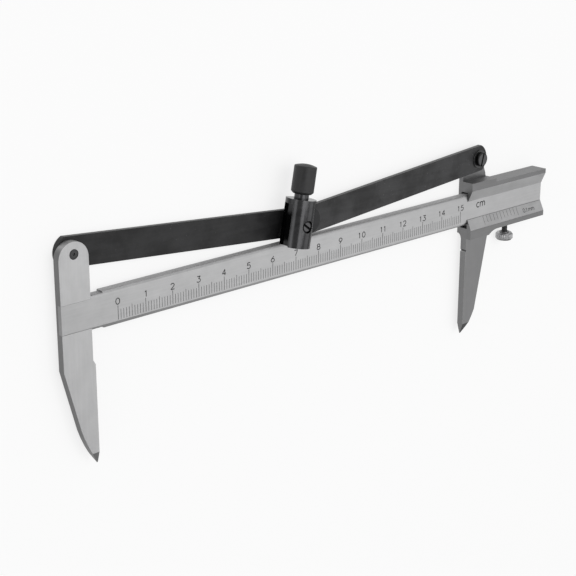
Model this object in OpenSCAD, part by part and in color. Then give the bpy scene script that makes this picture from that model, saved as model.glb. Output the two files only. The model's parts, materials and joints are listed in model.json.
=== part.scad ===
// Marking vernier caliper with a centring linkage, lying on its back.
// X runs along the beam, Y points from the jaws to the pivots, Z points out of the scale.
// The pieces are drawn from the beam's back face, below the zero mark and at the middle of the beam's height.
// Then the whole is moved, so that its origin is the datum point on the fixed measuring face.

/* [Beam] */
// Height of the beam
beam_h = 11; // [9:0.1:14]
// Thickness of the beam
beam_t = 3; // [2.6:0.1:4]
// Length of the beam from the zero mark to its right end
beam_right = 195.8; // [190:0.1:230]
// Width of the eased strip along each front edge of the beam
strip_w = 1.1; // [0.6:0.05:1.6]
// Fall of the eased strips towards the edges
strip_fall = 0.22; // [0.1:0.01:0.4]
// Length of the neck between the jaw and the full beam
neck_len = 4.2; // [2:0.1:6]
// Depth of the notch above the neck
notch_top = 0.55; // [0.2:0.05:0.7]
// Depth of the notch below the neck
notch_low = 0.4; // [0.1:0.05:0.6]
// Height above the beam's middle of the tongue that is let into the jaw
tongue_top = 4.1; // [3.5:0.1:4.7]
// Depth below the beam's middle of that tongue
tongue_low = 4.6; // [4:0.1:4.8]
// Thickness of the tongue
tongue_t = 1.5; // [1:0.1:1.8]

/* [Fixed jaw] */
// Distance from the zero mark back to the fixed measuring face
zero_offset = 8.5; // [7:0.1:10]
// Width of the fixed jaw's plate
plate_w = 10.1; // [9:0.1:12]
// Thickness of both jaws
jaw_t = 2.5; // [2.2:0.1:2.6]
// How far each measuring face stands proud of the plate
face_proud = 0.8; // [0.4:0.1:1.2]
// Distance from the beam's middle to the jaw tips
jaw_reach = 46.9; // [40:0.1:60]
// Distance from the beam's middle to the top of the measuring faces
face_top = 15.8; // [14:0.1:18]
// Height of the slope from the fixed plate out to its measuring face
face_slope = 1.5; // [1:0.1:3]
// Distance from the beam's middle to the datum point on the fixed measuring face
datum_drop = 30; // [20:0.5:38]
// Width of the fixed jaw at the end of its long taper
fixed_bend_w = 5.9; // [5:0.1:7]
// Distance from the tip to the end of the fixed jaw's taper
fixed_bend = 11.8; // [9:0.1:14]
// Swell of the rounded run from the taper to the tip
tip_swell = 0.5; // [0:0.1:0.8]
// Length of the bevelled tips
tip_len = 3.7; // [2:0.1:5]
// Thickness left at the points of the jaws
tip_t = 0.2; // [0.1:0.05:0.4]
// Width left at the points of the jaws
tip_w = 0.3; // [0.2:0.05:0.6]
// Height of the fixed jaw's lug above the beam's middle
lug_h = 22; // [20:0.1:26]
// Radius of the rivets that hold the jaws
rivet_r = 0.7; // [0.5:0.05:0.9]
// Place of the two rivets, as a share of the jaw's width from each side
rivet_share = 0.27; // [0.2:0.01:0.35]
// Share of the tongue's thickness that the fixed jaw's rivets reach into
rivet_depth = 0.6; // [0.4:0.05:0.8]

/* [Linkage] */
// Distance from the fixed measuring face back to the left pivot
left_setback = 5.7; // [5:0.1:6.4]
// Distance from the sliding measuring face back to the right pivot
right_setback = 6.1; // [5.4:0.1:7]
// Distance from the top of the fixed jaw's lug down to the left pivot
left_pivot_drop = 3.7; // [3.2:0.1:4.6]
// Height of the right pivot above the beam's middle
right_pivot_h = 17.6; // [17:0.1:20]
// Width of the arms
arm_w = 9.2; // [8:0.1:9.8]
// Thickness of the arms
arm_t = 1.75; // [1.4:0.05:2]
// Radius of the rounded arm ends
arm_end_r = 5.4; // [5:0.1:7]
// How far an arm reaches past its pivot
arm_over = 4.3; // [3.6:0.1:4.6]
// Gap between the resting arms and the beam
arm_rest_gap = 0.3; // [0.2:0.05:1]
// Side play between the linkage's layers
side_gap = 0.1; // [0.05:0.01:0.2]
// Radius of the left and middle pivots
pin_r = 1.5; // [1.2:0.05:1.8]
// How far the left pivot's end is sunk below the lug's front
pin_sunk = 0.2; // [0.1:0.05:0.5]
// Radius of the centre mark in the left pivot's end
centre_mark_r = 0.55; // [0.4:0.05:0.8]
// Depth of that centre mark
centre_mark_d = 0.3; // [0.2:0.05:0.5]
// Radius of the countersunk heads at the back
sink_r = 2.4; // [2.1:0.05:2.8]
// Depth of the countersunk heads
sink_h = 0.9; // [0.6:0.05:1.1]
// Radius of the right pivot's shoulder
shoulder_r = 1.7; // [1.5:0.05:2]
// Radius of the right pivot's thread
thread_r = 1.25; // [1:0.05:1.4]
// Radius of the right pivot screw's head
pivot_head_r = 2.5; // [2.2:0.05:3]
// Height of the right pivot screw's head
pivot_head_h = 1.4; // [1:0.05:2]
// Radius of the washer under that head
washer_r = 3.2; // [2.8:0.05:3.6]
// Thickness of the washer
washer_t = 0.4; // [0.3:0.05:0.6]
// Width of the screwdriver slots
slot_w = 0.7; // [0.5:0.05:0.9]
// Depth of the screwdriver slots
slot_d = 0.5; // [0.3:0.05:0.7]
// Turn of the right pivot screw's slot
pivot_slot_turn = 74; // [-90:1:90]

/* [Slider] */
// Opening between the measuring faces as drawn
opening = 162.1; // [150:0.1:162.4]
// Length of the slider
slider_len = 42; // [38:0.1:50]
// Height of the upper rail's top above the beam's middle
rail_top = 8.7; // [8.2:0.1:11]
// Depth of the lower rail's bottom below the beam's middle
rail_bottom = 9.2; // [8.8:0.1:12]
// Height of the taller stretch of rail under the lug
step_top = 9.9; // [9.2:0.1:11.5]
// Length of the taller stretch
step_len = 13.2; // [12.4:0.1:18]
// Height of the rails in front of the beam's face
rail_proud = 2; // [1.5:0.1:3]
// Height above the beam's middle where the upper rail's slope starts
upper_slope = 7.1; // [6.4:0.1:8]
// Height above the beam's middle of the upper rail's lip
upper_lip = 3.1; // [2:0.1:4]
// Depth below the beam's middle where the lower rail's slope starts
lower_slope = 7.3; // [6.6:0.1:8]
// Depth below the beam's middle of the lower rail's lip
lower_lip = 3.7; // [3:0.1:4.5]
// Thickness of the lips at their edges
lip_t = 0.15; // [0.1:0.05:0.4]
// Thickness of the slider's back wall
back_wall = 1.3; // [1:0.05:1.6]
// Length of the relief in the channel's mouths
relief_len = 3; // [2:0.1:5]
// Height of that relief above the beam
relief_h = 0.7; // [0.5:0.1:1.4]
// Width of the slider's lug at its foot
lug_foot = 12.3; // [11.6:0.1:13]
// Radius of the fillet at the lug's foot
lug_fillet = 2.5; // [1.5:0.1:3.5]
// Radius of the slider's lug round its pivot
lug_r = 3.6; // [3.4:0.1:4.6]
// Height of the lug's foot above the beam's middle
lug_foot_h = 11.2; // [10.5:0.1:12]
// Width of the sliding jaw where it leaves the slider
slide_jaw_w = 12; // [10:0.1:13]
// Width of the sliding jaw at the end of its long taper
slide_bend_w = 6.2; // [5:0.1:7]
// Distance from the tip to the end of the sliding jaw's taper
slide_bend = 8.3; // [7:0.1:12]
// Depth of the groove at the top of the sliding measuring face
groove_d = 0.45; // [0.2:0.05:0.8]
// How far the slider's end stands back from the measuring face
end_relief = 0.1; // [0.05:0.01:0.3]
// How far the jaw's block hangs below the lower rail
block_drop = 1.6; // [1.2:0.1:2.6]
// Length of that block before it curves up to the rail
block_len = 10.4; // [9:0.1:12]
// Length of the curve from the block up to the rail
block_curve = 4.5; // [3:0.1:6]
// Radius of the hollow behind the block
hollow_r = 1.7; // [1:0.1:1.8]
// Cover of metal between the channel and the top of the sliding jaw
seat_cover = 1; // [0.6:0.1:1.2]
// Running clearance of the slider on the beam
slide_gap = 0.05; // [0.03:0.01:0.1]

/* [Gib and lock screw] */
// Thickness of the gib strip
gib_t = 1.4; // [1:0.05:1.8]
// Distance from the slider's ends to the gib strip
gib_inset = 2; // [1:0.1:4]
// Side play of the gib strip, in front and behind
gib_play = 0.2; // [0.1:0.05:0.4]
// Distance from the gib's left end to its first grub screw
grub_left = 15.4; // [14:0.1:17]
// Distance from the gib's right end to its second grub screw
grub_right = 4; // [3:0.1:8]
// Radius of the gib's grub screws
grub_r = 0.8; // [0.6:0.05:1]
// How far the grub screws reach into the gib
grub_bite = 0.6; // [0.4:0.05:0.9]
// Distance from the slider's left end to the lock screw
lock_x = 23.2; // [21:0.1:26]
// Radius of the lock screw's shank
lock_shank_r = 1; // [0.8:0.05:1.3]
// Radius of the lock screw's head
lock_head_r = 3.2; // [2.8:0.05:3.2]
// Height of the lock screw's head
lock_head_h = 2.7; // [2:0.1:3.5]
// Bare length of the shank below the slider
lock_neck = 3.6; // [2.5:0.1:5]
// Chamfer of the lock screw's head
lock_edge = 0.5; // [0.2:0.05:0.8]
// Width of the collar above the lock screw's head
collar_w = 0.7; // [0.4:0.05:1]
// Height of that collar
collar_h = 0.4; // [0.2:0.05:0.8]
// Number of grooves round the knurled head
knurl_count = 28; // [20:1:40]
// Depth of the knurl
knurl_d = 0.22; // [0.1:0.02:0.3]

/* [Marker] */
// Lean of the marker from square to the beam
marker_lean = 10.8; // [-20:0.1:20]
// Diameter of the barrel
barrel_w = 9.7; // [8:0.1:9.9]
// Height of the barrel
barrel_h = 15.2; // [13:0.1:18]
// Distance from the flat on the barrel's back to its axis
barrel_flat = 3.75; // [3.2:0.05:4.2]
// Distance from the middle pivot to the barrel's axis
barrel_off = 5.95; // [5:0.05:6.4]
// Distance from the middle pivot down to the barrel's foot
barrel_foot = 6.3; // [5.5:0.1:7]
// Height of the full round left above the groove in the barrel's left flank
flank_collar = 1.6; // [1.2:0.1:2.4]
// Distance from the barrel's axis forward to the groove's front wall
flank_front = 1.55; // [1:0.05:2]
// Thickness of the cheek left behind the groove
flank_cheek = 0.8; // [0.6:0.05:1.2]
// Metal left between the groove's floor and the punch's bore
flank_wall = 0.6; // [0.5:0.05:0.9]
// Thickness of the ear behind the barrel
ear_t = 0.8; // [0.6:0.05:1.2]
// Radius of the ear's round end
ear_r = 4.2; // [3.8:0.1:4.6]
// Distance from the middle pivot to the centre of the ear's end
ear_reach = 2.7; // [0:0.1:4]
// Height of the ear's end above the middle pivot
ear_rise = 1.2; // [0:0.1:1.6]
// Radius of the boss that bears on the right arm
boss_r = 3.6; // [3:0.1:4]
// Clearance of the barrel in front of the beam's face
marker_gap = 0.1; // [0.05:0.01:0.4]
// Metal left in front of the middle pivot's blind hole
pivot_cover = 0.3; // [0.2:0.05:0.5]
// Radius of the punch's shank
punch_r = 2.3; // [1.8:0.05:2.6]
// Radius of the hard point
point_r = 1; // [0.8:0.05:1.2]
// Length of the point's cone
cone_len = 1.6; // [1:0.1:2.5]
// Radius left at the end of the cone
cone_end_r = 0.05; // [0.03:0.01:0.1]
// Length of the point held in the shank
point_grip = 2.4; // [1.5:0.1:3.5]
// Distance from the barrel's foot up to the resting point
point_inset = 0.3; // [0.1:0.1:1]
// Thickness of the barrel's floor
floor_t = 1.4; // [1:0.1:2]
// Bare length of the shank between barrel and knob
knob_gap = 1.5; // [1.3:0.1:2.6]
// Radius of the knob
knob_r = 3.6; // [3:0.05:3.8]
// Height of the knob
knob_h = 9.4; // [7:0.1:11]
// Chamfer of the knob's lower edge
knob_chamfer = 0.7; // [0.4:0.1:1.2]
// Rise of the knob's domed top
knob_dome = 0.7; // [0.2:0.1:0.9]
// Depth of the knob's socket
knob_socket = 5.5; // [4:0.1:6]
// Distance from the barrel's foot to the guide screw
guide_h = 7; // [6.5:0.1:8]
// Radius of the guide screw
guide_r = 1.7; // [1.5:0.05:1.9]
// Width of the groove round the guide screw's end
guide_rim = 0.3; // [0.2:0.05:0.4]
// Depth of that groove
guide_rim_d = 0.5; // [0.3:0.05:0.7]
// How far the guide screw is sunk below the barrel's front
guide_sunk = 0.5; // [0.3:0.05:0.8]
// Turn of the guide screw's slot
guide_slot_turn = -28; // [-90:1:90]
// Radius of the guide screw's dog point
dog_r = 0.8; // [0.6:0.05:1]
// Depth of the keyway that the dog point runs in
keyway_d = 1; // [0.7:0.05:1.1]
// Length of shank below the keyway
shank_toe = 0.45; // [0.3:0.05:0.8]
// Radius of the spring's wire
wire_r = 0.2; // [0.15:0.01:0.22]
// Radius of the spring at the middle of its wire
coil_r = 1.7; // [1.5:0.05:1.8]
// Turns of the spring
coil_turns = 3.5; // [2.5:0.5:4]
// Radial room round a running pin or a sunk head
run_gap = 0.05; // [0.02:0.01:0.08]

/* [Hidden] */
$fn = 64;

steel = [0.72, 0.73, 0.73];
bright = [0.62, 0.63, 0.64];
black = [0.16, 0.16, 0.17];
cut = 1;                                      // overshoot of cutting shapes
slot_len = 4 * pivot_head_r;                  // longer than any slotted head is wide

// Beam and fixed jaw
beam_top = beam_h / 2;
flat_h = beam_top - strip_w;                  // half height of the flat front face
face_x = -zero_offset;                        // fixed measuring face
plate_in = face_x - face_proud;               // plate edge beside the beam
plate_out = plate_in - plate_w;               // left end of the whole caliper
neck_end = plate_in + neck_len;
jaw_back = beam_t - jaw_t;
lap_z = beam_t - tongue_t;                    // floor of the groove for the tongue
jaw_mid_z = beam_t - jaw_t / 2;

// Slider
slide_face = face_x + opening;
slider_start = slide_face + end_relief;
slider_end = slide_face + slider_len;
back_z = -slide_gap - back_wall;              // the face that the caliper lies on
rail_z = beam_t + rail_proud;
lip_z = beam_t + slide_gap;
channel_top = beam_top + slide_gap;
gib_top = -beam_top - slide_gap;
channel_bottom = gib_top - gib_t - slide_gap;
block_bottom = -rail_bottom - block_drop;
jaw_seat = channel_bottom - seat_cover;       // top of the sliding jaw, under the channel's floor
slide_rivet_y = jaw_seat - 1.2 * rivet_r;
lock_z = (back_z + rail_z) / 2;

// Arm planes: the left arm lies behind the fixed lug, the right arm in front of the slider's lug
left_front = jaw_back - side_gap;
left_z = left_front - arm_t;
right_z = left_front + side_gap;
right_front = right_z + arm_t;
lug_front = left_front;

// Pivots: both arms have one length, and the middle pivot hangs just above the beam
left_pivot = [face_x - left_setback, lug_h - left_pivot_drop];
right_pivot = [slide_face + right_setback, right_pivot_h];
middle_h = beam_top + arm_rest_gap + arm_w / 2;
mean_pivot = (left_pivot + right_pivot) / 2;
pivot_span = right_pivot - left_pivot;
middle_pivot = [mean_pivot.x + (mean_pivot.y - middle_h) * pivot_span.y / pivot_span.x, middle_h];
arm_len = norm(middle_pivot - left_pivot);
left_angle = atan2(middle_pivot.y - left_pivot.y, middle_pivot.x - left_pivot.x);
right_angle = atan2(middle_pivot.y - right_pivot.y, middle_pivot.x - right_pivot.x);

// Marker
barrel_z = beam_t + marker_gap;
barrel_axis_z = barrel_z + barrel_flat;
barrel_r = barrel_w / 2;
barrel_top = barrel_h - barrel_foot;
pivot_seat = barrel_z + ear_t - pivot_cover;  // end of the blind hole for the middle pivot
bore_floor = floor_t - barrel_foot;
knob_foot = barrel_top + knob_gap;
stroke = knob_gap - 2 * run_gap;              // the dog point stops the knob short of the barrel
guide_y = guide_h - barrel_foot;
guide_seat = barrel_axis_z + punch_r + 2 * run_gap;
guide_top = barrel_axis_z + barrel_r - guide_sunk;
keyway_foot = guide_y - dog_r - run_gap;
keyway_top = guide_y + dog_r + stroke + run_gap;
shank_foot = keyway_foot - shank_toe;
point_tip = point_inset - barrel_foot;

// Moves the drawn pieces to the datum
module at_datum() translate([-face_x, datum_drop, -jaw_mid_z]) children();

// A flat outline raised between two heights
module slab(points, z0, z1) translate([0, 0, z0]) linear_extrude(z1 - z0) polygon(points);

// A section in Y and Z drawn out along X
module along_x(points, x0, x1) {
  translate([x0, 0, 0]) rotate([90, 0, 90]) linear_extrude(x1 - x0) polygon(points);
}

module block(low, high) translate(low) cube(high - low);

module disc(centre, r, z0, z1) translate([centre.x, centre.y, z0]) cylinder(r = r, h = z1 - z0);

module cone(centre, r0, r1, z0, z1) {
  translate([centre.x, centre.y, z0]) cylinder(r1 = r0, r2 = r1, h = z1 - z0);
}

// A pin along Y
module pin_y(x, z, r, y0, y1) translate([x, y0, z]) rotate([-90, 0, 0]) cylinder(r = r, h = y1 - y0);

// Half section of a jaw's thickness: bevelled on both sides at the tip
module tip_bevel(top) {
  along_x([
    [top, jaw_back], [top, beam_t], [-jaw_reach + tip_len, beam_t], [-jaw_reach, jaw_mid_z + tip_t / 2],
    [-jaw_reach, jaw_mid_z - tip_t / 2], [-jaw_reach + tip_len, jaw_back]
  ], -cut - slide_jaw_w - plate_w, cut + slide_jaw_w + plate_w);
}

// Outer edge of a jaw from its straight part down: a long taper, then a rounded run to the tip.
// Widths are measured from the measuring face.
function swell(t) = 4 * tip_swell * t * (1 - t);
function jaw_edge(w, y_top, bend_w, bend) = concat([[w, y_top]], [
  for (t = [0 : 0.25 : 1]) [bend_w + (tip_w - bend_w) * t + swell(t), bend * (1 - t) - jaw_reach]
]);

function reversed(list) = [for (i = [len(list) - 1 : -1 : 0]) list[i]];

// Screwdriver slot across a head, seen from +Z
module slot(centre, top, turn) {
  translate([centre.x, centre.y, top - slot_d]) rotate([0, 0, turn])
    translate([-slot_len / 2, -slot_w / 2, 0]) cube([slot_len, slot_w, slot_d + cut]);
}

module beam() color(steel) difference() {
  along_x([
    [-beam_top, 0], [beam_top, 0], [beam_top, beam_t - strip_fall], [flat_h, beam_t], [-flat_h, beam_t],
    [-beam_top, beam_t - strip_fall]
  ], plate_out, beam_right);
  start = plate_out - cut;
  block([start, beam_top - notch_top, -cut], [neck_end, beam_h, beam_t + cut]);
  block([start, -beam_h, -cut], [neck_end, notch_low - beam_top, beam_t + cut]);
  block([start, tongue_top, -cut], [plate_in, beam_h, beam_t + cut]);
  block([start, -beam_h, -cut], [plate_in, -tongue_low, beam_t + cut]);
  block([start, -beam_h, -cut], [plate_in, beam_h, lap_z]);
  jaw_rivet_holes();
}

// Two rivets from the back hold the tongue in its groove
rivet_shares = [rivet_share, 1 - rivet_share];
jaw_rivet_x = plate_in * [1, 1] - plate_w * rivet_shares;
jaw_rivet_top = lap_z + tongue_t * rivet_depth;
module jaw_rivet_holes() {
  for (x = jaw_rivet_x) disc([x, 0], rivet_r, jaw_back - cut, jaw_rivet_top);
}

module jaw_rivets() color(bright) {
  for (x = jaw_rivet_x) disc([x, 0], rivet_r, jaw_back, jaw_rivet_top);
}

module fixed_jaw() color(steel) difference() {
  lug_y = lug_h - plate_w / 2;
  outer = reversed(jaw_edge(plate_w + face_proud, -face_top, fixed_bend_w, fixed_bend));
  union() {
    intersection() {
      slab(concat(
        [[plate_in, lug_y], [plate_in, face_slope - face_top], [face_x, -face_top], [face_x, -jaw_reach]],
        [for (p = outer) [face_x - p.x, p.y]],
        [[plate_out, lug_y]]
      ), jaw_back, beam_t);
      tip_bevel(lug_h);
    }
    disc([plate_in - plate_w / 2, lug_y], plate_w / 2, jaw_back, beam_t);
  }
  block([plate_out - cut, -tongue_low, lap_z], [plate_in + cut, tongue_top, beam_t + cut]);
  disc(left_pivot, pin_r, jaw_back - cut, beam_t + cut);
  jaw_rivet_holes();
}

module left_pivot_pin() color(black) difference() {
  pin_end = beam_t - pin_sunk;
  union() {
    disc(left_pivot, pin_r, left_z + sink_h, pin_end);
    cone(left_pivot, sink_r, pin_r, left_z, left_z + sink_h);
  }
  disc(left_pivot, centre_mark_r, pin_end - centre_mark_d, pin_end + cut);
}

// An arm from its end pivot at the origin to the middle pivot on +X
module arm_shape() {
  linear_extrude(arm_t) union() {
    translate([0, -arm_w / 2]) square([arm_len, arm_w]);
    for (end = [0, 1]) translate([end * arm_len, 0]) mirror([1 - end, 0]) intersection() {
      translate([-cut, -arm_w / 2]) square([arm_over + 2 * cut, arm_w]);
      translate([arm_over - arm_end_r, 0]) circle(r = arm_end_r);
    }
  }
}

module place_arm(pivot, angle, z) translate([pivot.x, pivot.y, z]) rotate([0, 0, angle]) children();

module left_arm() color(black) difference() {
  place_arm(left_pivot, left_angle, left_z) arm_shape();
  disc(left_pivot, pin_r + run_gap, left_z - cut, left_front + cut);
  cone(left_pivot, sink_r + 2 * run_gap, pin_r + run_gap, left_z, left_z + sink_h + run_gap);
  disc(middle_pivot, pin_r, left_z - cut, left_front + cut);
  cone(middle_pivot, sink_r, pin_r, left_z, left_z + sink_h);
}

module right_arm() color(black) difference() {
  place_arm(right_pivot, right_angle, right_z) arm_shape();
  disc(right_pivot, shoulder_r + run_gap, right_z - cut, right_front + cut);
  disc(middle_pivot, pin_r + run_gap, right_z - cut, right_front + cut);
}

// The middle pivot is one screw, parted between the two arms
module centre_pivot_head() color(black) {
  disc(middle_pivot, pin_r, left_z + sink_h, left_front);
  difference() {
    cone(middle_pivot, sink_r, pin_r, left_z, left_z + sink_h);
    mirror([0, 0, 1]) slot(middle_pivot, -left_z, 0);
  }
}

module centre_pivot_screw() color(black) disc(middle_pivot, pin_r, right_z - run_gap, pivot_seat);

module right_pivot_screw() color(black) difference() {
  head_z = right_front + run_gap + washer_t;
  union() {
    disc(right_pivot, thread_r, back_z, lug_front);
    disc(right_pivot, shoulder_r, lug_front, head_z);
    disc(right_pivot, pivot_head_r, head_z, head_z + pivot_head_h);
  }
  slot(right_pivot, head_z + pivot_head_h, pivot_slot_turn);
}

module right_pivot_washer() color(black) difference() {
  disc(right_pivot, washer_r, right_front + run_gap, right_front + run_gap + washer_t);
  disc(right_pivot, shoulder_r, right_front - cut, right_front + washer_t + cut);
}

// Puts a marker piece, drawn round the middle pivot and upright, where it leans
module place_marker() {
  translate([middle_pivot.x, middle_pivot.y, 0]) rotate([0, 0, -marker_lean]) children();
}

// A rod on the punch's axis
module on_axis(r, y0, y1) pin_y(-barrel_off, barrel_axis_z, r, y0, y1);

module guide_hole(r, z0, z1) disc([-barrel_off, guide_y], r, z0, z1);

// Round barrel with a flat at its back, a groove in its left flank, and an ear over the middle pivot
module marker_block() color(black) place_marker() difference() {
  front = barrel_axis_z + barrel_r;
  left = -barrel_off - barrel_r;
  union() {
    intersection() {
      on_axis(barrel_r, -barrel_foot, barrel_top);
      block([left, -barrel_foot, barrel_z], [left + barrel_w, barrel_top, front]);
    }
    block([-barrel_off, ear_rise - ear_r, barrel_z], [ear_reach, ear_rise + ear_r, barrel_z + ear_t]);
    disc([ear_reach, ear_rise], ear_r, barrel_z, barrel_z + ear_t);
    disc([0, 0], boss_r, right_front + run_gap, barrel_z + ear_t / 2);
  }
  on_axis(punch_r + run_gap, bore_floor, barrel_top + cut);
  on_axis(point_r + run_gap, -barrel_foot - cut, bore_floor + cut);
  disc([0, 0], pin_r, right_front, pivot_seat);
  guide_hole(guide_r, barrel_axis_z, front + cut);
  guide_hole(guide_r + guide_rim, guide_top - guide_rim_d, front + cut);
  block([left - cut, -barrel_foot - cut, barrel_z + flank_cheek],
    [-barrel_off - punch_r - run_gap - flank_wall, barrel_top - flank_collar, barrel_axis_z + flank_front]);
}

// Slotted grub screw whose dog point keeps the punch from turning and from coming out
module guide_screw() color(black) place_marker() difference() {
  union() {
    guide_hole(dog_r, barrel_axis_z + punch_r - keyway_d + run_gap, guide_seat);
    guide_hole(guide_r, guide_seat, guide_top);
  }
  slot([-barrel_off, guide_y], guide_top, guide_slot_turn);
}

module punch_shank() color(black) place_marker() difference() {
  on_axis(punch_r, shank_foot, knob_foot + knob_socket);
  on_axis(point_r, shank_foot - cut, shank_foot + point_grip);
  block([-barrel_off - dog_r - run_gap, keyway_foot, barrel_axis_z + punch_r - keyway_d],
    [-barrel_off + dog_r + run_gap, keyway_top, barrel_axis_z + punch_r + cut]);
}

module punch_point() color(bright) place_marker() {
  on_axis(point_r, point_tip + cone_len, shank_foot + point_grip);
  translate([-barrel_off, point_tip, barrel_axis_z]) rotate([-90, 0, 0])
    cylinder(r1 = cone_end_r, r2 = point_r, h = cone_len);
}

// The knob is turned round the punch's axis: chamfered foot, plain wall, domed top
module punch_knob() color(black) place_marker() {
  dome_r = (knob_r * knob_r + knob_dome * knob_dome) / (2 * knob_dome);
  translate([-barrel_off, knob_foot, barrel_axis_z]) rotate([-90, 0, 0]) difference() {
    union() {
      cylinder(r1 = knob_r - knob_chamfer, r2 = knob_r, h = knob_chamfer);
      translate([0, 0, knob_chamfer]) intersection() {
        cylinder(r = knob_r, h = knob_h - knob_chamfer);
        translate([0, 0, knob_h - knob_chamfer - dome_r]) sphere(r = dome_r, $fn = 96);
      }
    }
    translate([0, 0, -cut]) cylinder(r = punch_r, h = knob_socket + cut);
  }
}

// Open coil between the barrel's floor and the shank: one tube swept along a helix
coil_rings = 12;                              // rings in a turn
wire_sides = 6;
coil_foot = bore_floor + wire_r + run_gap;
coil_pitch = (shank_foot - bore_floor - 2 * wire_r - 2 * run_gap) / coil_turns;
ring_count = coil_turns * coil_rings + 1;
function coil_centre(i) = [coil_r * cos(360 * i / coil_rings), coil_r * sin(360 * i / coil_rings),
  coil_foot + coil_pitch * i / coil_rings];
function wire_point(i, k) = coil_centre(i) + wire_r * (
  cos(360 * k / wire_sides) * [cos(360 * i / coil_rings), sin(360 * i / coil_rings), 0] +
  sin(360 * k / wire_sides) * [0, 0, 1]);
coil_gaps = [for (i = [0 : ring_count - 1 - coil_rings]) norm(coil_centre(i + coil_rings) - coil_centre(i))];
echo(least_gap_of_the_spring_to_itself = min(coil_gaps) - 2 * wire_r);

module punch_spring() color(bright) place_marker() {
  translate([-barrel_off, 0, barrel_axis_z]) rotate([-90, 0, 0]) polyhedron(
    points = [for (i = [0 : ring_count - 1], k = [0 : wire_sides - 1]) wire_point(i, k)],
    faces = concat(
      [for (i = [0 : ring_count - 2], k = [0 : wire_sides - 1], half = [0, 1]) let (
        next = (k + 1) % wire_sides,
        a = i * wire_sides + k,
        b = i * wire_sides + next,
        c = (i + 1) * wire_sides + next,
        d = (i + 1) * wire_sides + k
      ) half == 0 ? [a, c, b] : [a, d, c]],
      [for (k = [1 : wire_sides - 2]) [0, k, k + 1]],
      [for (k = [1 : wire_sides - 2]) (ring_count - 1) * wire_sides * [1, 1, 1] + [0, k + 1, k]]
    )
  );
}

// Section of the slider round the beam: back wall, two rails and their sloping lips
module slider_section() {
  along_x([
    [-rail_bottom, back_z], [rail_top, back_z], [rail_top, rail_z], [upper_slope, rail_z],
    [upper_lip, lip_z + lip_t], [upper_lip, lip_z], [channel_top, lip_z], [channel_top, -slide_gap],
    [channel_bottom, -slide_gap], [channel_bottom, lip_z], [-lower_lip, lip_z], [-lower_lip, lip_z + lip_t],
    [-lower_slope, rail_z], [-rail_bottom, rail_z]
  ], slider_start, slider_end);
}

// Lug at the back of the slider, tapering up to its round end, with a fillet at its foot
module slider_lug() {
  foot_x = slider_start + lug_foot;
  disc(right_pivot, lug_r, back_z, lug_front);
  slab([
    [slider_start, rail_top - cut], [slider_start, lug_foot_h], right_pivot + [-lug_r, 0],
    right_pivot + [lug_r, 0], [foot_x, lug_foot_h], [foot_x, rail_top - cut]
  ], back_z, lug_front);
  difference() {
    block([foot_x - cut, rail_top - cut, back_z], [foot_x + lug_fillet, rail_top + lug_fillet, lug_front]);
    disc([foot_x + lug_fillet, rail_top + lug_fillet], lug_fillet, back_z - cut, lug_front + cut);
  }
}

// Block under the lower rail that carries the jaw, curving up to the rail and hollowed at the back
module jaw_block() difference() {
  curve_end = slider_start + block_len + block_curve;
  curve_r = (block_curve * block_curve + block_drop * block_drop) / (2 * block_drop);
  block([slider_start, block_bottom, back_z], [curve_end, -rail_bottom + cut, rail_z]);
  disc([curve_end, -rail_bottom - curve_r], curve_r, back_z - cut, rail_z + cut);
  translate([slider_start - cut, block_bottom, back_z]) rotate([0, 90, 0])
    cylinder(r = hollow_r, h = slider_len);
}

rivet_top = beam_t + rail_proud / 2;          // blind end of the rivets, inside the lower rail
module slide_rivets(z0, z1) {
  for (share = rivet_shares) disc([slide_face + share * slide_jaw_w, slide_rivet_y], rivet_r, z0, z1);
}

gib_left = slide_face + gib_inset;
gib_right = slider_end - gib_inset;
grub_x = [gib_left + grub_left, gib_right - grub_right];
module grubs(y0, y1, r) {
  for (x = grub_x) pin_y(x, beam_t / 2, r, y0, y1);
}

module slider_body() color(steel) difference() {
  union() {
    slider_section();
    block([slider_start, rail_top - cut, back_z], [slider_start + step_len, step_top, rail_z]);
    slider_lug();
    jaw_block();
  }
  mouth = slide_face - cut;
  block([mouth, beam_top - cut, -slide_gap], [slider_start + relief_len, beam_top + relief_h, lip_z]);
  block([mouth, block_bottom - cut, jaw_back], [slide_face + slide_jaw_w, jaw_seat, beam_t]);
  disc(right_pivot, thread_r, back_z - cut, lug_front + cut);
  slide_rivets(back_z - cut, rivet_top);
  grubs(-rail_bottom - cut, channel_bottom + cut, grub_r);
  pin_y(slide_face + lock_x, lock_z, lock_shank_r + run_gap, -rail_bottom - cut, channel_bottom + cut);
}

module sliding_jaw() color(steel) difference() {
  outer = reversed(jaw_edge(slide_jaw_w, block_bottom, slide_bend_w, slide_bend));
  intersection() {
    slab(concat(
      [[slide_face + slide_jaw_w, jaw_seat], [slider_start, jaw_seat]],
      [[slider_start, 2 * groove_d - face_top], [slider_start + groove_d, groove_d - face_top]],
      [[slide_face, -face_top], [slide_face, -jaw_reach]],
      [for (p = outer) [slide_face + p.x, p.y]]
    ), jaw_back, beam_t);
    translate([slide_face, 0, 0]) tip_bevel(jaw_seat);
  }
  slide_rivets(jaw_back - cut, beam_t + cut);
}

// The rivets are dressed flush with the hollow behind the block
module sliding_jaw_rivets() color(bright) intersection() {
  slide_rivets(back_z, rivet_top);
  union() {
    slider_section();
    jaw_block();
  }
}

module gib_strip() color(bright) difference() {
  block([gib_left, gib_top - gib_t, gib_play], [gib_right, gib_top, beam_t - gib_play]);
  grubs(gib_top - gib_t - cut, gib_top - gib_t + grub_bite, grub_r);
}

module gib_screws() color(black) grubs(-rail_bottom, gib_top - gib_t + grub_bite, grub_r);

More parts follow.
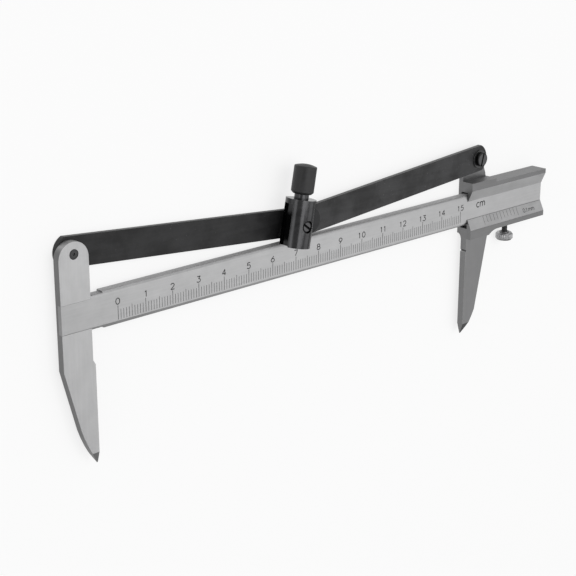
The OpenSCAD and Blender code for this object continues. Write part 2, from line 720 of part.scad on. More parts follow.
// Thumb screw: shank up to the gib, small collar and a knurled head
module lock_screw() color(bright) {
  head_top = -rail_bottom - lock_neck;
  end_r = lock_head_r - lock_edge;
  root_r = lock_head_r - knurl_d;
  pin_y(slide_face + lock_x, lock_z, lock_shank_r, head_top, gib_top - gib_t - slide_gap / 2);
  pin_y(slide_face + lock_x, lock_z, lock_shank_r + collar_w, head_top, head_top + collar_h);
  translate([slide_face + lock_x, head_top, lock_z]) rotate([90, 0, 0]) {
    cylinder(r1 = end_r, r2 = root_r, h = lock_edge);
    translate([0, 0, lock_edge]) linear_extrude(lock_head_h - 2 * lock_edge) polygon([
      for (i = [0 : 2 * knurl_count - 1]) (i % 2 == 0 ? lock_head_r : root_r) *
        [cos(180 * i / knurl_count), sin(180 * i / knurl_count)]
    ]);
    translate([0, 0, lock_head_h - lock_edge]) cylinder(r1 = root_r, r2 = end_r, h = lock_edge);
  }
}

at_datum() beam();
at_datum() fixed_jaw();
at_datum() jaw_rivets();
at_datum() left_pivot_pin();
at_datum() left_arm();
at_datum() right_arm();
at_datum() right_pivot_screw();
at_datum() right_pivot_washer();
at_datum() centre_pivot_screw();
at_datum() centre_pivot_head();
at_datum() marker_block();
at_datum() guide_screw();
at_datum() punch_shank();
at_datum() punch_point();
at_datum() punch_knob();
at_datum() punch_spring();
at_datum() slider_body();
at_datum() sliding_jaw();
at_datum() sliding_jaw_rivets();
at_datum() gib_strip();
at_datum() gib_screws();
at_datum() lock_screw();
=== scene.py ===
import json
import math

import bmesh
import bpy
from mathutils import Matrix, Vector


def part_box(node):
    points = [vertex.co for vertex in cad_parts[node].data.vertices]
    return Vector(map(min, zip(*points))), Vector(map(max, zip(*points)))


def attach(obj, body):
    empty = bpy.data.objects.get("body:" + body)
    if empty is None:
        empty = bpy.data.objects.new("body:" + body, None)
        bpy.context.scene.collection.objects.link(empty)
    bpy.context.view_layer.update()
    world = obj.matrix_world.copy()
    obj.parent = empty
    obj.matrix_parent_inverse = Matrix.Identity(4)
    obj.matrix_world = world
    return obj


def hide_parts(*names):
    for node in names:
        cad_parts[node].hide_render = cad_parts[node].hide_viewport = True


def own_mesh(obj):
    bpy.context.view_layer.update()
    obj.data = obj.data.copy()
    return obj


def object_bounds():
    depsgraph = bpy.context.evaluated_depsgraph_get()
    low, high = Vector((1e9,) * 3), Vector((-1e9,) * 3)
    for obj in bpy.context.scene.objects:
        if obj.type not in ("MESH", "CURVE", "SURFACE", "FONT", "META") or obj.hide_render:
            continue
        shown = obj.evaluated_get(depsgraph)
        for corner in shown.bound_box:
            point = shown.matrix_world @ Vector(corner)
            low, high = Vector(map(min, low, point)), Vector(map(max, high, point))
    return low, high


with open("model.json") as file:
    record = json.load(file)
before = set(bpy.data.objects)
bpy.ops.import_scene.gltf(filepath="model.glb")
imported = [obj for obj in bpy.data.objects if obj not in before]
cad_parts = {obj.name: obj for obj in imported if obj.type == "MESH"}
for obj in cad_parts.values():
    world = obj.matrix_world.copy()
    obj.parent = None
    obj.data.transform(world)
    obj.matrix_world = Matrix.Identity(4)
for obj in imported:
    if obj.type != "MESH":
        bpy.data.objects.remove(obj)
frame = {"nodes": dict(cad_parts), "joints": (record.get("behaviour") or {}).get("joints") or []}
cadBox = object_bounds()
nodes = frame["nodes"]
mm = 0.001
beamLow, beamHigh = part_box("beam")
zeroMark = 8.5  # from the fixed measuring face to the scale's zero, in mm
datum = Vector((zeroMark, (beamLow.y + beamHigh.y) / 2 / mm, beamLow.z / mm))  # zero mark, on the beam's back
print("frame loaded:", len(nodes), "nodes")


# Shader values as Python expressions

class Val:
    # one output socket; arithmetic on it adds Math nodes
    def __init__(self, finish, socket):
        self.finish = finish
        self.socket = socket

    def calc(self, operation, first, second):
        settings = {"operation": operation}
        return self.finish.node("ShaderNodeMath", settings, {0: first, 1: second}, "Value")

    def __add__(self, other):
        return self.calc("ADD", self, other)

    def __radd__(self, other):
        return self.calc("ADD", other, self)

    def __sub__(self, other):
        return self.calc("SUBTRACT", self, other)

    def __rsub__(self, other):
        return self.calc("SUBTRACT", other, self)

    def __mul__(self, other):
        return self.calc("MULTIPLY", self, other)

    def __rmul__(self, other):
        return self.calc("MULTIPLY", other, self)


class Finish:
    # one material, or the world, and the nodes that make it
    def __init__(self, owner):
        self.owner = owner
        owner.use_nodes = True
        self.tree = owner.node_tree
        self.tree.nodes.clear()

    def node(self, kind, settings, sockets, output):
        made = self.tree.nodes.new(kind)
        for key, value in settings.items():
            setattr(made, key, value)
        for key, value in sockets.items():
            if isinstance(value, Val):
                self.tree.links.new(value.socket, made.inputs[key])
            else:
                made.inputs[key].default_value = value
        return Val(self, made.outputs[output]) if made.outputs else None

    def vector(self, operation, first, second, output="Vector"):
        return self.node("ShaderNodeVectorMath", {"operation": operation}, {0: first, 1: second}, output)

    def place(self):
        return self.node("ShaderNodeTexCoord", {}, {}, "Object")

    def height(self):
        return self.node("ShaderNodeSeparateXYZ", {}, {0: self.place()}, "Z")

    def fromAxis(self, middle, keep):
        # distance from a line through middle, measured along the directions that keep leaves
        across = self.vector("MULTIPLY", self.vector("SUBTRACT", self.place(), middle), keep)
        return self.node("ShaderNodeVectorMath", {"operation": "LENGTH"}, {0: across}, "Value")

    def noise(self, scales, detail=3.0, rough=0.55):
        spread = self.vector("MULTIPLY", self.place(), scales)
        sockets = {"Vector": spread, "Scale": 1.0, "Detail": detail, "Roughness": rough}
        return self.node("ShaderNodeTexNoise", {}, sockets, "Fac")

    def share(self, value, low, high):
        # 0 up to low, 1 from high on, smooth between
        sockets = {"Value": value, "From Min": low, "From Max": high}
        return self.node("ShaderNodeMapRange", {"interpolation_type": "SMOOTHSTEP"}, sockets, "Result")

    def facing(self, direction):
        # how squarely the surface faces a direction of the frame, from -1 to 1
        normal = self.node("ShaderNodeTexCoord", {}, {}, "Normal")
        return self.vector("DOT_PRODUCT", normal, direction, "Value")

    def greyOf(self, level, cool):
        # a grey of this level, with a little more blue
        return self.node("ShaderNodeCombineColor", {}, {0: level, 1: level, 2: level * cool}, "Color")

    def mixed(self, share, low, high):
        # sockets 6 and 7 and output 2 are the Mix node's colours
        return self.node("ShaderNodeMix", {"data_type": "RGBA"}, {0: share, 6: low, 7: high}, 2)

    def edges(self, radius, rays=6, full=0.25):
        # 0 on flats, rising towards 1 near an edge
        rounded = self.node("ShaderNodeBevel", {"samples": rays}, {"Radius": radius}, "Normal")
        sharp = self.node("ShaderNodeNewGeometry", {}, {}, "Normal")
        return self.share(1 - self.vector("DOT_PRODUCT", rounded, sharp, "Value"), 0.0, full)

    def bump(self, height, strength, depth):
        sockets = {"Height": height, "Strength": strength, "Distance": depth}
        return self.node("ShaderNodeBump", {}, sockets, "Normal")

    def seen(self):
        # 1 for what the camera sees, straight on or in metal
        path = [self.node("ShaderNodeLightPath", {}, {}, key)
                for key in ("Is Camera Ray", "Is Glossy Ray", "Is Transmission Ray")]
        return path[0] + path[1] + path[2]

    def shader(self, sockets):
        return self.node("ShaderNodeBsdfPrincipled", {}, sockets, "BSDF")

    def surface(self, shader):
        self.node("ShaderNodeOutputMaterial", {}, {"Surface": shader}, None)
        return self.owner


def newFinish(name):
    return Finish(bpy.data.materials.new(name))


def plainGrey(level):
    return (level, level, level, 1)


towards = {"front": (0, 0, 1), "up": (0, 1, 0), "down": (0, -1, 0), "left": (-1, 0, 0), "right": (1, 0, 0)}
noiseMean = 0.5


# Ground steel: brush lines along one direction, clouded, with painted light and shade set by the way each
# face turns, and a painted highlight along the edges

steelGrain = {"brushLong": 70, "brushShort": 1500, "fineLong": 260, "fineShort": 26000, "cloud": 150,
              "edge": 0.00025, "edgeHighlight": 0.10, "cool": 1.008, "bump": 0.12, "bumpDepth": 0.00002}
steelFace = {"front": (0.982, 0.997), "up": (0.75, 0.97), "side": (0.6, 0.9), "down": (0.12, 0.30)}  # cosines
steelShade = {"least": 0.74, "clouds": 0.32, "brush": 0.14, "fine": 0.06,
              "cloudRough": 0.14, "fineRough": 0.10}
# Painted light and shade: a level for faces turned front, up and sideways, one for the slopes between, and a
# darkening of faces turned down; the sliding jaw's and slider's darker fronts are painted shade too
beamSteel = {"front": 0.42, "slope": 0.31, "up": 0.52, "side": 0.25, "down": 0.0, "along": "x",
             "rough": 0.36, "upRough": 0.45}
jawSteel = {"front": 0.46, "slope": 0.34, "up": 0.30, "side": 0.165, "down": 0.20, "along": "y",
            "rough": 0.38, "upRough": 0.2}
slideJawSteel = {"front": 0.21, "slope": 0.36, "up": 0.26, "side": 0.195, "down": 0.7, "along": "y",
                 "rough": 0.38, "upRough": 0.2}
sliderSteel = {"front": 0.20, "slope": 0.60, "up": 0.29, "side": 0.19, "down": 0.1, "along": "x",
               "rough": 0.40, "upRough": 0.2}


def groundSteel(name, look):
    f = newFinish(name)

    def lay(long, short):
        return tuple(long if axis == look["along"] else short for axis in "xyz")

    def turned(direction, face):
        return f.share(f.facing(towards[direction]), *steelFace[face])

    brush = f.noise(lay(steelGrain["brushLong"], steelGrain["brushShort"]), detail=2.0)
    fine = f.noise(lay(steelGrain["fineLong"], steelGrain["fineShort"]), detail=2.0)
    clouds = f.noise((steelGrain["cloud"],) * 3, detail=4.0)
    up = turned("up", "up")
    side = turned("left", "side") + turned("right", "side")
    # painted light and shade: the level follows the way the face turns, and faces turned down are darkened
    level = look["slope"] + (look["front"] - look["slope"]) * turned("front", "front")
    level = level + (look["up"] - look["slope"]) * up + (look["side"] - look["slope"]) * side
    level = level * (1 - look["down"] * turned("down", "down"))
    grain = steelShade["least"] + steelShade["clouds"] * clouds
    grain = grain + steelShade["brush"] * brush + steelShade["fine"] * fine
    # painted highlight along the edges, clouded
    level = level * grain + steelGrain["edgeHighlight"] * f.edges(steelGrain["edge"]) * clouds
    rough = look["rough"] + steelShade["cloudRough"] * (clouds - noiseMean)
    rough = rough + steelShade["fineRough"] * (fine - noiseMean) + look["upRough"] * up
    sockets = {"Base Color": f.greyOf(level, steelGrain["cool"]), "Metallic": 1.0, "Roughness": rough,
               "Normal": f.bump(fine, steelGrain["bump"], steelGrain["bumpDepth"])}
    return f.surface(f.shader(sockets))


# Black oxide: near black, mottled and specked, worn brighter along the edges, with painted light on faces
# turned up

oxideGrain = {"edge": 0.00035, "mottle": 95, "streak": (55, 480, 480), "speck": 1500, "fine": 9000,
              "wearAndLightLevel": 0.20, "cool": 1.03, "bump": 0.10, "bumpDepth": 0.00001}
oxideSpan = {"mottle": (0.34, 0.66), "streak": (0.32, 0.68), "speck": (0.66, 0.72), "rim": (0.7, 0.95)}
oxideShade = {"wearLeast": 0.35, "wearFine": 0.65, "topLightLeast": 0.6, "topLightStreak": 0.8, "streak": 0.5,
              "mean": 0.75, "roughLeast": 0.75, "roughVary": 0.25}
# rim: painted light on faces turned up
leftArmBlack = {"level": 0.021, "metal": 0.0, "gloss": 0.20, "rough": 0.42, "mottle": 0.75,
                "wear": 0.55, "specks": 0.5, "rim": 0.16}
rightArmBlack = {"level": 0.030, "metal": 0.0, "gloss": 0.22, "rough": 0.40, "mottle": 0.90,
                 "wear": 0.60, "specks": 0.7, "rim": 0.30}
markerBlack = {"level": 0.060, "metal": 1.0, "gloss": 0.5, "rough": 0.20, "mottle": 0.35,
               "wear": 0.30, "specks": 0.05, "rim": 0.0}
knobBlack = {"level": 0.027, "metal": 0.2, "gloss": 0.4, "rough": 0.50, "mottle": 0.40,
             "wear": 0.45, "specks": 0.1, "rim": 0.0}
screwBlack = {"level": 0.050, "metal": 0.7, "gloss": 0.4, "rough": 0.30, "mottle": 0.40,
              "wear": 0.60, "specks": 0.1, "rim": 0.0}
# sides: the level kept on a screw head's rim, sides and slot, painted shade
guideBlack = {"level": 0.095, "metal": 1.0, "gloss": 0.5, "rough": 0.30, "mottle": 0.30,
              "wear": 0.0, "specks": 0.1, "rim": 0.0, "sides": 0.06}
pivotBlack = {"level": 0.075, "metal": 1.0, "gloss": 0.5, "rough": 0.28, "mottle": 0.40,
              "wear": 0.25, "specks": 0.1, "rim": 0.0, "sides": 0.30}
# depths in mm below the front end, shares of the radius, cosines
screwEnd = {"slot": (0.2, 0.05), "rim": (0.76, 0.90), "face": (0.8, 0.95)}


def screwFace(f, node):
    # 1 on the front end of a screw, 0 on its rim, on its sides and in its slot
    low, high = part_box(node)
    radius = (high.x - low.x) / 2
    away = f.fromAxis((low + high) / 2, (1, 1, 0))
    rim = f.share(away, *(part * radius for part in screwEnd["rim"]))
    raised = f.share(f.height(), *(high.z - depth * mm for depth in screwEnd["slot"]))
    return raised * f.share(f.facing(towards["front"]), *screwEnd["face"]) * (1 - rim)


# earShade and grooveShade are painted shade on the barrel's ear and in its groove
# degrees, mm from the beam's back, shares and cosines
barrelLook = {"lean": 10.8, "earFront": (3.95, 4.15), "earShade": 0.55,
              "groove": (0.985, 0.998), "grooveShade": 0.35}


def barrelTurned(f):
    # 1 on the turned round, less where shade is painted on the ear and in the groove of the left flank
    lean = math.radians(barrelLook["lean"])
    ear = 1 - f.share(f.height(), *((height + datum.z) * mm for height in barrelLook["earFront"]))
    groove = f.share(f.facing((-math.cos(lean), math.sin(lean), 0)), *barrelLook["groove"])
    return (1 - barrelLook["earShade"] * ear) * (1 - barrelLook["grooveShade"] * groove)


def blackOxide(name, look, part=None):
    f = newFinish(name)
    mottle = f.share(f.noise((oxideGrain["mottle"],) * 3, detail=5.0, rough=0.6), *oxideSpan["mottle"])
    streak = f.share(f.noise(oxideGrain["streak"], detail=4.0), *oxideSpan["streak"])
    fine = f.noise((oxideGrain["fine"],) * 3, detail=2.0)
    specks = f.share(f.noise((oxideGrain["speck"],) * 3, detail=3.0, rough=0.7), *oxideSpan["speck"])
    rim = f.share(f.facing(towards["up"]), *oxideSpan["rim"])
    wearAndTopLight = f.edges(oxideGrain["edge"]) * (oxideShade["wearLeast"] + oxideShade["wearFine"] * fine)
    wearAndTopLight = wearAndTopLight * look["wear"] + look["specks"] * specks * mottle
    # painted light on faces turned up, streaked, added to the worn edges and specks
    wearAndTopLight = wearAndTopLight + look["rim"] * rim * (oxideShade["topLightLeast"] + oxideShade["topLightStreak"] * streak)
    blotch = mottle + oxideShade["streak"] * streak - oxideShade["mean"]
    shade = look["level"] * (1 + look["mottle"] * blotch)
    # painted shade on the barrel's ear and in its groove
    if part == "marker_block":
        shade = shade * barrelTurned(f)
    elif part:
        # painted shade on the rim, sides and slot of the screw's head
        shade = shade * (look["sides"] + (1 - look["sides"]) * screwFace(f, part))
    colour = f.mixed(wearAndTopLight, f.greyOf(shade, oxideGrain["cool"]), plainGrey(oxideGrain["wearAndLightLevel"]))
    rough = look["rough"] * (oxideShade["roughLeast"] + oxideShade["roughVary"] * (mottle + streak))
    sockets = {"Base Color": colour, "Metallic": look["metal"], "Specular IOR Level": look["gloss"],
               "Roughness": rough, "Normal": f.bump(fine, oxideGrain["bump"], oxideGrain["bumpDepth"])}
    return f.surface(f.shader(sockets))


# Turned steel for the rivets, the gib, the punch's point and its spring

turnedGrain = {"fine": (3000, 30000, 3000), "cloud": 300, "cool": 1.01, "shadeLeast": 0.84,
               "shadeClouds": 0.20, "shadeFine": 0.10, "roughVary": 0.15, "bump": 0.10, "bumpDepth": 0.00001}
screwSteel = {"level": 0.34, "rough": 0.28}
punchSteel = {"level": 0.16, "rough": 0.24}


def turnedSteel(name, look):
    f = newFinish(name)
    fine = f.noise(turnedGrain["fine"], detail=2.0)
    clouds = f.noise((turnedGrain["cloud"],) * 3)
    grain = turnedGrain["shadeLeast"] + turnedGrain["shadeClouds"] * clouds + turnedGrain["shadeFine"] * fine
    sockets = {"Base Color": f.greyOf(look["level"] * grain, turnedGrain["cool"]), "Metallic": 1.0,
               "Roughness": look["rough"] + turnedGrain["roughVary"] * (clouds - noiseMean),
               "Normal": f.bump(fine, turnedGrain["bump"], turnedGrain["bumpDepth"])}
    return f.surface(f.shader(sockets))


# The lock screw: painted shade on the neck and in the grooves of the knurled head

# radii in mm, cosines of the head's wall, levels and shares
lockSteel = {"neck": (1.1, 2.2), "groove": (2.98, 3.17), "wall": (0.3, 0.8), "level": 0.54, "rough": 0.44,
             "shadeLeast": 0.85, "shadeClouds": 0.3, "neckShade": 0.22, "knurlShade": 0.62}


def knurledSteel(name, look):
    f = newFinish(name)
    low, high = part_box("lock_screw")
    away = f.fromAxis((low + high) / 2, (1, 0, 1))
    neck = 1 - f.share(away, *(radius * mm for radius in look["neck"]))
    groove = 1 - f.share(away, *(radius * mm for radius in look["groove"]))
    wall = 1 - f.share(f.facing(towards["up"]), *look["wall"])
    clouds = f.noise((turnedGrain["cloud"],) * 3)
    shade = look["level"] * (look["shadeLeast"] + look["shadeClouds"] * clouds)
    # painted shade on the neck, and in the knurl's grooves on the head's wall
    shade = shade * (1 - (1 - look["neckShade"]) * neck) * (1 - look["knurlShade"] * groove * wall)
    sockets = {"Base Color": f.greyOf(shade, turnedGrain["cool"]), "Metallic": 1.0,
               "Roughness": look["rough"] + turnedGrain["roughVary"] * (clouds - noiseMean)}
    return f.surface(f.shader(sockets))


# Ink in the marks

inkGrain = {"speck": 12000, "shadeLeast": 0.7, "shadeSpeck": 0.6, "rough": 0.62, "roughVary": 0.2,
            "cool": 1.0}


def engravedInk(name, level):
    f = newFinish(name)
    speck = f.noise((inkGrain["speck"],) * 3, detail=2.0)
    shade = level * (inkGrain["shadeLeast"] + inkGrain["shadeSpeck"] * speck)
    sockets = {"Base Color": f.greyOf(shade, inkGrain["cool"]),
               "Roughness": inkGrain["rough"] + inkGrain["roughVary"] * (speck - noiseMean)}
    return f.surface(f.shader(sockets))


finishes = {
    groundSteel("beam_steel", beamSteel): ["beam"],
    groundSteel("jaw_steel", jawSteel): ["fixed_jaw"],
    groundSteel("sliding_jaw_steel", slideJawSteel): ["sliding_jaw"],
    groundSteel("slider_steel", sliderSteel): ["slider_body"],
    blackOxide("left_arm_black", leftArmBlack): ["left_arm"],
    blackOxide("right_arm_black", rightArmBlack): ["right_arm"],
    blackOxide("marker_black", markerBlack, "marker_block"): ["marker_block"],
    blackOxide("shank_black", markerBlack): ["punch_shank"],
    blackOxide("knob_black", knobBlack): ["punch_knob"],
    blackOxide("screw_black", screwBlack): ["left_pivot_pin", "right_pivot_washer", "centre_pivot_screw",
                                            "centre_pivot_head", "gib_screws"],
    blackOxide("pivot_black", pivotBlack, "right_pivot_screw"): ["right_pivot_screw"],
    blackOxide("guide_black", guideBlack, "guide_screw"): ["guide_screw"],
    turnedSteel("screw_steel", screwSteel): ["jaw_rivets", "sliding_jaw_rivets", "gib_strip"],
    knurledSteel("lock_steel", lockSteel): ["lock_screw"],
    turnedSteel("punch_steel", punchSteel): ["punch_point", "punch_spring"],
}
for material, names in finishes.items():
    for name in names:
        nodes[name].data.materials.clear()
        nodes[name].data.materials.append(material)
print("finishes set:", len(finishes))


# Edges broken as a file would, in mm; the flats are joined first so that only real edges are cut

edgeBreak = {"beam": 0.06, "fixed_jaw": 0.08, "sliding_jaw": 0.18, "slider_body": 0.12, "left_arm": 0.18,
             "right_arm": 0.18, "marker_block": 0.15, "punch_knob": 0.15, "right_pivot_screw": 0.15,
             "guide_screw": 0.06, "lock_screw": 0.05, "right_pivot_washer": 0.06}
edgeCut = {"flat": 0.5, "sharp": 12, "steps": 2, "weld": 0.001}  # degrees, degrees, count, mm


def breakEdges(part, width):
    weld = part.modifiers.new("weld", "WELD")
    weld.merge_threshold = edgeCut["weld"] * mm
    flats = part.modifiers.new("flats", "DECIMATE")
    flats.decimate_type = "DISSOLVE"
    flats.angle_limit = math.radians(edgeCut["flat"])
    cut = part.modifiers.new("edge_break", "BEVEL")
    cut.width = width * mm
    cut.segments = edgeCut["steps"]
    cut.limit_method = "ANGLE"
    cut.angle_limit = math.radians(edgeCut["sharp"])
    cut.use_clamp_overlap = True
    part.modifiers.new("shading", "WEIGHTED_NORMAL")


for name, width in edgeBreak.items():
    breakEdges(nodes[name], width)
print("edges broken:", len(edgeBreak))


# Marks: thin closed bars, half sunk into the steel

markLook = {"thick": 0.03, "longWidth": 0.17, "fineWidth": 0.14, "ink": 0.022, "lightInk": 0.06,
            "samePoint": 1e-6}
ink = engravedInk("engraved_ink", markLook["ink"])
lightInk = engravedInk("vernier_ink", markLook["lightInk"])
acrossBeam = (Vector((1, 0, 0)), Vector((0, 1, 0)))  # right and up, on the beam's front


def bar(mesh, points, width, foot, right, up):
    # a flat bar of this width that follows points given along right and up from foot, all in mm
    closed = (points[0] - points[-1]).length < markLook["samePoint"]
    path = points[:-1] if closed else points
    count = len(path)
    lift = right.cross(up).normalized() * markLook["thick"] / 2
    rings = []
    for i, here in enumerate(path):
        before = path[i - 1] if closed or i > 0 else here
        after = path[(i + 1) % count] if closed or i < count - 1 else here
        run = (after - before).normalized()
        side = Vector((-run.y, run.x)) * width / 2
        edge = [foot + right * at.x + up * at.y for at in (here + side, here - side)]
        corners = (edge[0] + lift, edge[1] + lift, edge[1] - lift, edge[0] - lift)
        rings.append([mesh.verts.new(corner * mm) for corner in corners])
    for i in range(count if closed else count - 1):
        near, far = rings[i], rings[(i + 1) % count]
        for k in range(4):
            mesh.faces.new((near[k], near[k - 1], far[k - 1], far[k]))
    if not closed:
        mesh.faces.new(rings[0])
        mesh.faces.new(rings[-1][::-1])


def tick(mesh, length, width, foot, right, up):
    bar(mesh, [Vector((0, 0)), Vector((0, length))], width, foot, right, up)


def finishMark(mesh, name, body, material):
    data = bpy.data.meshes.new(name)
    bmesh.ops.recalc_face_normals(mesh, faces=mesh.faces)
    mesh.to_mesh(data)
    mesh.free()
    piece = bpy.data.objects.new(name, data)
    bpy.context.scene.collection.objects.link(piece)
    data.materials.append(material)
    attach(piece, body)


# Lettering in single strokes, on a cell one high

def arc(x, y, wide, high, start, end, steps=12):
    turns = [math.radians(start + (end - start) * i / steps) for i in range(steps + 1)]
    return [(x + wide * math.cos(turn), y + high * math.sin(turn)) for turn in turns]


strokes = {
    "0": [arc(0.29, 0.5, 0.29, 0.5, 90, 450, 24)],
    "1": [[(0, 0.78), (0.18, 1)], [(0.18, 1), (0.18, 0)]],
    "2": [arc(0.27, 0.72, 0.27, 0.28, 170, -40) + [(0, 0)], [(0, 0), (0.56, 0)]],
    "3": [[(0.03, 1), (0.53, 1)], [(0.53, 1), (0.24, 0.6)], arc(0.23, 0.3, 0.32, 0.3, 88, -150)],
    "4": [[(0.42, 0), (0.42, 1)], [(0.42, 1), (0, 0.3)], [(0, 0.3), (0.6, 0.3)]],
    "5": [[(0.52, 1), (0.08, 1)], [(0.08, 1), (0.04, 0.55)], arc(0.25, 0.32, 0.31, 0.32, 130, -150)],
    "6": [[(0.46, 1), (0.04, 0.45)], arc(0.29, 0.31, 0.29, 0.31, 90, 450, 24)],
    "7": [[(0, 1), (0.58, 1)], [(0.58, 1), (0.18, 0)]],
    "8": [arc(0.29, 0.76, 0.24, 0.24, 90, 450, 24), arc(0.29, 0.26, 0.29, 0.26, 90, 450, 24)],
    "9": [arc(0.29, 0.69, 0.29, 0.31, 90, 450, 24), [(0.54, 0.55), (0.12, 0)]],
    "c": [arc(0.27, 0.35, 0.27, 0.35, 50, 310)],
    "m": [[(0, 0), (0, 0.7)], arc(0.2, 0.45, 0.2, 0.25, 180, 0) + [(0.4, 0)],
          arc(0.6, 0.45, 0.2, 0.25, 180, 0) + [(0.8, 0)]],
    ".": [[(0.04, 0), (0.04, 0.12)]],
    " ": [],
}
# shares of the height
letterLook = {"stroke": 0.155, "wide": 1.28, "digitGap": 0.66, "letterGap": 0.24, "wordGap": 0.1}


def lettering(text, name, height, foot, plane, body, material, gap):
    # one line of text with its middle over foot
    wide = letterLook["wide"]
    spans = [wide * max((x for stroke in strokes[sign] for x, y in stroke), default=letterLook["wordGap"])
             for sign in text]
    start = -(sum(spans) + gap * (len(text) - 1)) / 2
    mesh = bmesh.new()
    for sign, span in zip(text, spans):
        for stroke in strokes[sign]:
            points = [Vector(((start + wide * x) * height, y * height)) for x, y in stroke]
            bar(mesh, points, letterLook["stroke"] * height, foot, *plane)
        start += span + gap
    finishMark(mesh, name, body, material)


# The beam's scale, in mm from its zero mark and the beam's mid-height

beamScale = {"millimetres": 150, "longEvery": 10, "middleEvery": 5,
             "foot": -4.18, "long": 4.28, "middle": 3.65, "short": 3.0, "numeralFoot": 0.45,
             "numeralHeight": 1.84, "unitPlace": 160.95, "unitFoot": 0.06, "unitHeight": 2.45}
beamFront = datum + Vector((0, 0, (beamHigh.z - beamLow.z) / mm))


def beamTicks():
    mesh = bmesh.new()
    for mark in range(beamScale["millimetres"] + 1):
        kind = "middle" if mark % beamScale["middleEvery"] == 0 else "short"
        kind = "long" if mark % beamScale["longEvery"] == 0 else kind
        width = markLook["longWidth"] if kind == "long" else markLook["fineWidth"]
        tick(mesh, beamScale[kind], width, beamFront + Vector((mark, beamScale["foot"], 0)), *acrossBeam)
    finishMark(mesh, "beam_ticks", "frame", ink)


def beamNumerals():
    for centimetre in range(beamScale["millimetres"] // beamScale["longEvery"] + 1):
        foot = beamFront + Vector((centimetre * beamScale["longEvery"], beamScale["numeralFoot"], 0))
        lettering(str(centimetre), f"numeral_{centimetre}", beamScale["numeralHeight"], foot, acrossBeam,
                  "frame", ink, letterLook["digitGap"])
    foot = beamFront + Vector((beamScale["unitPlace"], beamScale["unitFoot"], 0))
    lettering("cm", "unit_mark", beamScale["unitHeight"], foot, acrossBeam,
              "frame", ink, letterLook["letterGap"])


# The vernier on the slider's lower slope, from its lip (y, z) down to its foot

vernier = {"lip": (-3.7, 3.2), "foot": (-7.3, 5.0), "zero": 162.1, "step": 1.9, "count": 11,
           "longEvery": 5, "inset": 0.15, "long": 3.1, "short": 2.5, "textPlace": 187.5, "textDown": 2.9,
           "textHeight": 1.45}


def vernierMarks():
    lip = Vector((0, *vernier["lip"]))
    rise = (lip - Vector((0, *vernier["foot"]))).normalized()
    right = acrossBeam[0]
    mesh = bmesh.new()
    for mark in range(vernier["count"]):
        length = vernier["long"] if mark % vernier["longEvery"] == 0 else vernier["short"]
        foot = lip - rise * (vernier["inset"] + length) + right * (vernier["zero"] + mark * vernier["step"])
        tick(mesh, length, markLook["fineWidth"], datum + foot, right, rise)
    finishMark(mesh, "vernier_ticks", "slider", lightInk)
    foot = lip - rise * vernier["textDown"] + right * vernier["textPlace"]
    lettering("0.1 mm", "vernier_unit", vernier["textHeight"], datum + foot, (right, rise),
              "slider", lightInk, letterLook["letterGap"])


beamTicks()
beamNumerals()
vernierMarks()
print("graduations made")


# The punch's spring, copied from its CAD piece onto the marker's body, with its length along the press
# measured

def springCoil():
    press = next(joint for joint in frame["joints"] if joint["name"] == "punch_press")
    foot = Vector(press["deforming_nodes"][0]["fixed_end_m"])
    axis = Vector(press["axis"])
    piece = bpy.data.objects.new("spring_coil", nodes["punch_spring"].data.copy())
    bpy.context.scene.collection.objects.link(piece)
    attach(piece, "marker")
    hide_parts("punch_spring")
    length = max((foot - vertex.co).dot(axis) for vertex in piece.data.vertices)
    1 - press["range_m"][1] / length
    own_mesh(piece)
    print("spring made, mm long:", round(length / mm, 2))


springCoil()


# Floor, light and camera

stageLook = {"floor": 0.92, "floorRough": 0.9, "floorHalf": 6.0, "floorGap": 0.02 * mm, "glow": 0.75,
             "world": 0.46, "middle": (0.09, 0.03, 0)}
lamps = {
    "overhead": {"place": (0.05, 0.35, 1.35), "size": (1.5, 1.2), "power": 10.5},
    "right_panel": {"place": (0.935, -0.38, 0.90), "size": (0.8, 0.8), "power": 1.65},
    "left_panel": {"place": (-0.89, -0.02, 0.22), "size": (0.5, 0.35), "power": 0.7},
}


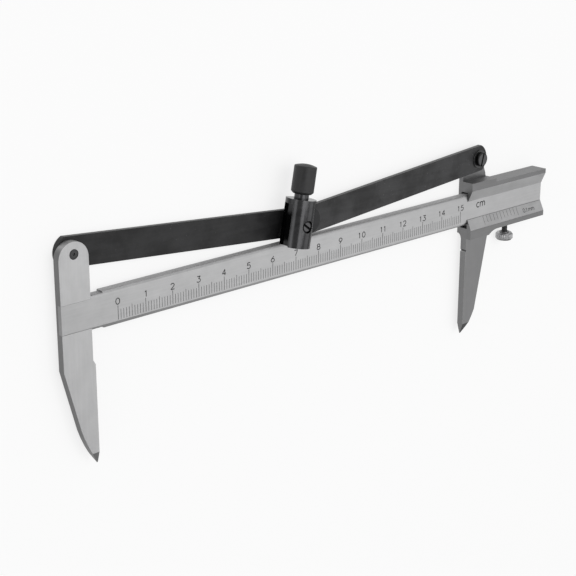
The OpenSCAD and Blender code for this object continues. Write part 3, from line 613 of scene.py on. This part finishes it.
def floor():
    mesh = bmesh.new()
    bmesh.ops.create_grid(mesh, x_segments=1, y_segments=1, size=stageLook["floorHalf"])
    data = bpy.data.meshes.new("floor")
    mesh.to_mesh(data)
    mesh.free()
    piece = bpy.data.objects.new("floor", data)
    piece.location = (stageLook["middle"][0], stageLook["middle"][1], cadBox[0].z - stageLook["floorGap"])
    bpy.context.scene.collection.objects.link(piece)
    f = newFinish("floor_paper")
    paper = f.shader({"Base Color": plainGrey(stageLook["floor"]), "Roughness": stageLook["floorRough"]})
    white = f.node("ShaderNodeEmission", {}, {"Color": plainGrey(1.0), "Strength": 1.0}, "Emission")
    share = f.seen() * stageLook["glow"]
    mixed = f.node("ShaderNodeMixShader", {}, {0: share, 1: paper, 2: white}, "Shader")
    data.materials.append(f.surface(mixed))


def lamp(name, look):
    data = bpy.data.lights.new(name, "AREA")
    data.shape = "RECTANGLE"
    data.size, data.size_y = look["size"]
    data.energy = look["power"]
    item = bpy.data.objects.new(name, data)
    place = Vector(look["place"])
    item.location = place
    item.rotation_mode = "QUATERNION"
    item.rotation_quaternion = (Vector(stageLook["middle"]) - place).to_track_quat("-Z", "Y")
    item.visible_camera = False
    bpy.context.scene.collection.objects.link(item)


def studio():
    world = bpy.data.worlds.new("studio")
    bpy.context.scene.world = world
    f = Finish(world)
    sockets = {"Color": plainGrey(1.0), "Strength": stageLook["world"]}
    light = f.node("ShaderNodeBackground", {}, sockets, "Background")
    f.node("ShaderNodeOutputWorld", {}, {"Surface": light}, None)
    for name, look in lamps.items():
        lamp(name, look)


photoCamera = {"place": (-227.36, 134.07, 319.61), "azimuth": 42.87, "elevation": 18.40, "roll": 0.09,
               "lens": 89.19, "sensor": 36, "clip": (0.01, 20)}


def camera():
    # the frame is the photograph's upright one laid on its back, so the view's own up lies along Y
    azimuth, elevation, roll = (math.radians(photoCamera[key]) for key in ("azimuth", "elevation", "roll"))
    forward = Vector((math.sin(azimuth) * math.cos(elevation), -math.sin(elevation),
                      -math.cos(azimuth) * math.cos(elevation)))
    level = Vector((math.cos(azimuth), 0, math.sin(azimuth)))
    rise = level.cross(forward)
    right = level * math.cos(roll) + rise * math.sin(roll)
    up = rise * math.cos(roll) - level * math.sin(roll)
    data = bpy.data.cameras.new("photo_view")
    data.sensor_width = photoCamera["sensor"]
    data.lens = photoCamera["lens"]
    data.clip_start, data.clip_end = photoCamera["clip"]
    item = bpy.data.objects.new("photo_view", data)
    place = Matrix.Translation((datum + Vector(photoCamera["place"])) * mm)
    item.matrix_world = place @ Matrix((right, up, -forward)).transposed().to_4x4()
    bpy.context.scene.collection.objects.link(item)
    bpy.context.scene.camera = item


floor()
studio()
camera()
bpy.context.scene.view_settings.view_transform = "Standard"
print("stage set")
